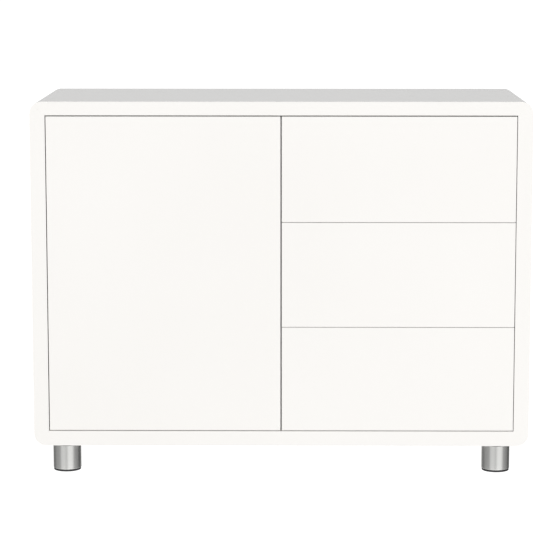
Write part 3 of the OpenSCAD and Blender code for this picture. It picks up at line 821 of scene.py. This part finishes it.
def turned_to(direction, twist):
    """The turn that points a screw's head in a direction, with its cross twisted in degrees."""
    turn = direction.to_track_quat("Z", "Y").to_matrix().to_4x4()
    return turn @ Matrix.Rotation(math.radians(twist), 4, "Z")


def screws(node, body, master):
    pieces = []
    for number, points in enumerate(islands(node)):
        seat, direction, shank_l = screw_seat(points)
        turn = turned_to(direction, SCREW_TWIST * number)
        pieces.append(copy_at(master, Matrix.Translation(seat) @ turn))
        axis = "XYZ"[max(range(3), key=lambda i: abs(direction[i]))]
        middle = seat - direction * shank_l / 2
        pieces.append(rod("shank", middle, SCREW_D / 2, shank_l, axis, SHANK_SIDES))
    hand_over(join(node + "_heads", pieces), body, "zinc", ZINC, node)


def adjusters(master):
    """The two adjusting screws in the foot of each hinge arm."""
    pieces = []
    for node in ("hinge_arm_upper", "hinge_arm_lower"):
        lo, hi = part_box(node)
        face_x = INNER_LO.x + ADJUSTER_HEIGHT
        for step in ADJUSTER_STEPS:
            y = hi.y - ADJUSTER_FROM_REAR + step - ADJUSTER_BACK
            seat = Vector((face_x, y, (lo.z + hi.z) / 2))
            turn = turned_to(Vector((1, 0, 0)), ADJUSTER_TWIST + step / MM)
            pieces.append(copy_at(master, Matrix.Translation(seat) @ turn))
    hand_over(join("hinge_adjusters", pieces), "carcass", "zinc", ZINC)


def hinges():
    for side in ("upper", "lower"):
        softened("hinge_plate_" + side, "carcass", "zinc", NICKEL)
        softened("hinge_arm_" + side, "carcass", "zinc", NICKEL)
        softened("hinge_cup_" + side, "door", "zinc", NICKEL, CUP_EDGE)
    softened("hinge_pins", "door", "zinc", NICKEL)


def latch():
    softened("latch_housing", "carcass", "grey_plastic", GREY, HOUSING_EDGE)
    softened("latch_plunger", "latch_plunger", "black_plastic", BLACK, PLUNGER_EDGE)
    softened("latch_strike", "door", "zinc", ZINC, STRIKE_EDGE)


def ball_master():
    clear_selection()
    bpy.ops.mesh.primitive_uv_sphere_add(
        segments=BALL_SEGMENTS, ring_count=BALL_RINGS, radius=BALL_D / 2)
    ball = settle("ball")
    bpy.ops.object.shade_smooth()
    return ball


def runner_balls(level, ball):
    """Rows of balls in their retainers, between the members of both runners of a drawer."""
    outer = [box_of(points) for points in islands("cabinet_rails_" + level)]
    middle = [box_of(points) for points in islands("mid_rails_" + level)]
    inner = [box_of(points) for points in islands("drawer_rails_" + level)]
    balls, retainers = [], []
    for (o_lo, o_hi), (m_lo, m_hi), (i_lo, i_hi) in zip(outer, middle, inner):
        half_length = (m_hi.y - m_lo.y) / 2
        outer_x = (max(o_lo.x, m_lo.x) + min(o_hi.x, m_hi.x)) / 2
        inner_x = (max(i_lo.x, m_lo.x) + min(i_hi.x, m_hi.x)) / 2
        rows = [
            # heights of the outer and inner faces, middle of the tracks, first ball of the row
            (o_hi.z - RAIL_SHEET, m_hi.z, outer_x, m_hi.y - half_length + OUTER_ROW_START),
            (m_hi.z - RAIL_SHEET, i_hi.z, inner_x, m_lo.y + INNER_ROW_START),
        ]
        mid_z = (m_lo.z + m_hi.z) / 2
        length = (BALLS_PER_ROW - 1) * BALL_STEP
        for above, below, x, start in rows:
            for side in (1, -1):
                z = mid_z + side * ((above + below) / 2 - mid_z)
                lo = Vector((x - RETAINER_HALF_W, start - RETAINER_END, z - RETAINER_T / 2))
                hi = Vector((x + RETAINER_HALF_W, start + length + RETAINER_END, z + RETAINER_T / 2))
                strip = block("retainer", lo, hi)
                retainers.append(ease(strip, RETAINER_EDGE, steps=RETAINER_EDGE_STEPS))
                for k in range(BALLS_PER_ROW):
                    balls.append(copy_at(ball, Matrix.Translation((x, start + k * BALL_STEP, z))))
    hand_over(join("runner_balls_" + level, balls), "runner_" + level, "zinc", BALLS)
    hand_over(join("ball_retainers_" + level, retainers), "runner_" + level, "zinc", ZINC)


def runners():
    ball = ball_master()
    for level in LEVELS:
        runner_balls(level, ball)
        softened("cabinet_rails_" + level, "carcass", "zinc", ZINC)
        softened("mid_rails_" + level, "runner_" + level, "zinc", ZINC)
        softened("drawer_rails_" + level, "drawer_" + level, "zinc", ZINC)
    bpy.data.objects.remove(ball)


def fasteners():
    master = screw_master()
    screws("carcass_screws", "carcass", master)
    screws("door_screws", "door", master)
    for level in LEVELS:
        screws("drawer_screws_" + level, "drawer_" + level, master)
    adjusters(master)
    bpy.data.objects.remove(master)
    softened("shelf_pins", "carcass", "zinc", ZINC, PIN_EDGE)


def hidden_nodes():
    """The pieces inside the boards and feet keep their CAD shape and get their finish."""
    finishes = {
        "mitre_dowels": BEECH, "divider_dowels": BEECH, "foot_bolts": ZINC, "foot_inserts": BRASS}
    for level in LEVELS:
        finishes["drawer_dowels_" + level] = BEECH
    for node, material in finishes.items():
        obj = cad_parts[node]
        if not obj.material_slots:
            obj.data.materials.append(material)
        for slot in obj.material_slots:
            slot.material = material


# ---------- studio ----------

def floor():
    """A white floor that also lights softly from below. In mirrors only the studio's walls show."""
    clear_selection()
    bpy.ops.mesh.primitive_plane_add(size=FLOOR_SIZE, location=(0, 0, 0))
    obj = settle("studio_floor")
    material = bpy.data.materials.new("studio_floor")
    material.use_nodes = True
    tree = material.node_tree
    tree.nodes.clear()
    tone = (FLOOR_TONE, FLOOR_TONE, FLOOR_TONE, 1)
    paint = add_node(tree, "ShaderNodeBsdfDiffuse", inputs={"Color": tone})
    level = add_node(
        tree, "ShaderNodeMapRange", inputs={"To Min": FLOOR_GLOW, "To Max": FLOOR_GLOW_SEEN})
    glow = add_node(tree, "ShaderNodeEmission", inputs={"Color": (1, 1, 1, 1)})
    clear = add_node(tree, "ShaderNodeBsdfTransparent")
    path = add_node(tree, "ShaderNodeLightPath")
    both = add_node(tree, "ShaderNodeMixShader", inputs={"Fac": FLOOR_GLOW_SHARE})
    seen = add_node(tree, "ShaderNodeMixShader")
    out = add_node(tree, "ShaderNodeOutputMaterial")
    tree.links.new(paint.outputs[0], both.inputs[1])
    tree.links.new(path.outputs["Is Camera Ray"], level.inputs["Value"])
    tree.links.new(level.outputs["Result"], glow.inputs["Strength"])
    tree.links.new(glow.outputs[0], both.inputs[2])
    tree.links.new(path.outputs["Is Glossy Ray"], seen.inputs["Fac"])
    tree.links.new(both.outputs[0], seen.inputs[1])
    tree.links.new(clear.outputs[0], seen.inputs[2])
    tree.links.new(seen.outputs[0], out.inputs["Surface"])
    obj.data.materials.append(material)


def ramp(tree, stops):
    """A grey ramp through the stops, each a place and a value."""
    node = add_node(tree, "ShaderNodeValToRGB")
    band = node.color_ramp
    band.interpolation = "EASE"
    while len(band.elements) > 1:
        band.elements.remove(band.elements[-1])
    for number, (place, value) in enumerate(stops):
        element = band.elements[0] if number == 0 else band.elements.new(place)
        element.position = place
        element.color = (value, value, value, 1)
    return node


def studio_walls():
    """The world: white backdrop, bright walls for the light, soft boxes that only mirrors show."""
    world = bpy.data.worlds.new("studio")
    world.use_nodes = True
    bpy.context.scene.world = world
    tree = world.node_tree
    tree.nodes.clear()
    place = add_node(tree, "ShaderNodeTexCoord")
    split = add_node(tree, "ShaderNodeSeparateXYZ")
    tree.links.new(place.outputs["Generated"], split.inputs[0])

    height = add_node(tree, "ShaderNodeMapRange", inputs={"From Min": -1.0, "From Max": 1.0})
    tree.links.new(split.outputs["Z"], height.inputs["Value"])
    light = ramp(tree, [(0.0, 1.0), (0.5, 1.0), (0.62, 0.9), (0.8, 0.62), (1.0, 0.55)])
    tree.links.new(height.outputs["Result"], light.inputs["Fac"])

    # Direction round the room: 0 behind the furniture on its left, 0.5 in front, 1 behind on
    # its right
    front = add_node(tree, "ShaderNodeMath", operation="MULTIPLY", inputs={1: -1.0})
    angle = add_node(tree, "ShaderNodeMath", operation="ARCTAN2")
    turn = add_node(tree, "ShaderNodeMapRange", inputs={"From Min": -math.pi, "From Max": math.pi})
    tree.links.new(split.outputs["Y"], front.inputs[0])
    tree.links.new(split.outputs["X"], angle.inputs[0])
    tree.links.new(front.outputs[0], angle.inputs[1])
    tree.links.new(angle.outputs[0], turn.inputs["Value"])
    mirror = ramp(tree, [
        (0.0, 0.65), (0.07, 0.6), (0.11, 0.22), (0.18, 0.2), (0.24, 0.36), (0.34, 0.42),
        (0.385, 0.8), (0.455, 0.82), (0.495, 0.62), (0.54, 1.05), (0.625, 1.0),
        (0.68, 0.4), (0.76, 0.3), (0.83, 0.1), (0.89, 0.12), (0.93, 0.6), (1.0, 0.65)])
    tree.links.new(turn.outputs["Result"], mirror.inputs["Fac"])

    walls = add_node(tree, "ShaderNodeBackground")
    boxes = add_node(tree, "ShaderNodeBackground")
    backdrop = add_node(
        tree, "ShaderNodeBackground", inputs={"Color": (1, 1, 1, 1), "Strength": BACKDROP_GLOW})
    path = add_node(tree, "ShaderNodeLightPath")
    lit = add_node(tree, "ShaderNodeMixShader")
    seen = add_node(tree, "ShaderNodeMixShader")
    out = add_node(tree, "ShaderNodeOutputWorld")
    tree.links.new(light.outputs["Color"], walls.inputs["Color"])
    below = add_node(tree, "ShaderNodeMapRange", inputs={
        "From Min": BELOW_FROM, "From Max": BELOW_FULL, "To Max": BELOW_GLOW})
    both = add_node(tree, "ShaderNodeVectorMath", operation="ADD")
    tree.links.new(split.outputs["Z"], below.inputs["Value"])
    tree.links.new(mirror.outputs["Color"], both.inputs[0])
    tree.links.new(below.outputs["Result"], both.inputs[1])
    tree.links.new(both.outputs["Vector"], boxes.inputs["Color"])
    tree.links.new(path.outputs["Is Glossy Ray"], seen.inputs["Fac"])
    tree.links.new(path.outputs["Is Camera Ray"], lit.inputs["Fac"])
    tree.links.new(walls.outputs[0], lit.inputs[1])
    tree.links.new(backdrop.outputs[0], lit.inputs[2])
    tree.links.new(lit.outputs[0], seen.inputs[1])
    tree.links.new(boxes.outputs[0], seen.inputs[2])
    tree.links.new(seen.outputs[0], out.inputs["Surface"])


def soft_light(name, place, size, power):
    """A large soft lamp that faces the middle of the furniture."""
    clear_selection()
    aim = Vector((0, 0, (OUTER_LO.z + OUTER_HI.z) / 2))
    turn = (aim - Vector(place)).to_track_quat("-Z", "Y").to_euler()
    bpy.ops.object.light_add(type="AREA", location=place, rotation=turn)
    lamp = bpy.context.object
    lamp.name = name
    lamp.data.shape = "SQUARE"
    lamp.data.size = size
    lamp.data.energy = power
    lamp.visible_glossy = False


def camera():
    clear_selection()
    bpy.ops.object.camera_add(
        location=CAMERA_PLACE,
        rotation=(math.radians(90 - CAMERA_DOWN), 0, math.radians(CAMERA_YAW)))
    eye = bpy.context.object
    eye.name = "camera"
    eye.data.lens = CAMERA_LENS
    eye.data.shift_y = CAMERA_SHIFT
    bpy.context.scene.camera = eye


carcass_frame()
inner_boards()
door()
for level in LEVELS:
    drawer(level)
feet()
hinges()
latch()
runners()
fasteners()
hidden_nodes()

floor()
studio_walls()
soft_light("key_light", **KEY_LIGHT)
soft_light("front_light", **FRONT_LIGHT)
camera()
bpy.context.scene.view_settings.view_transform = "Standard"
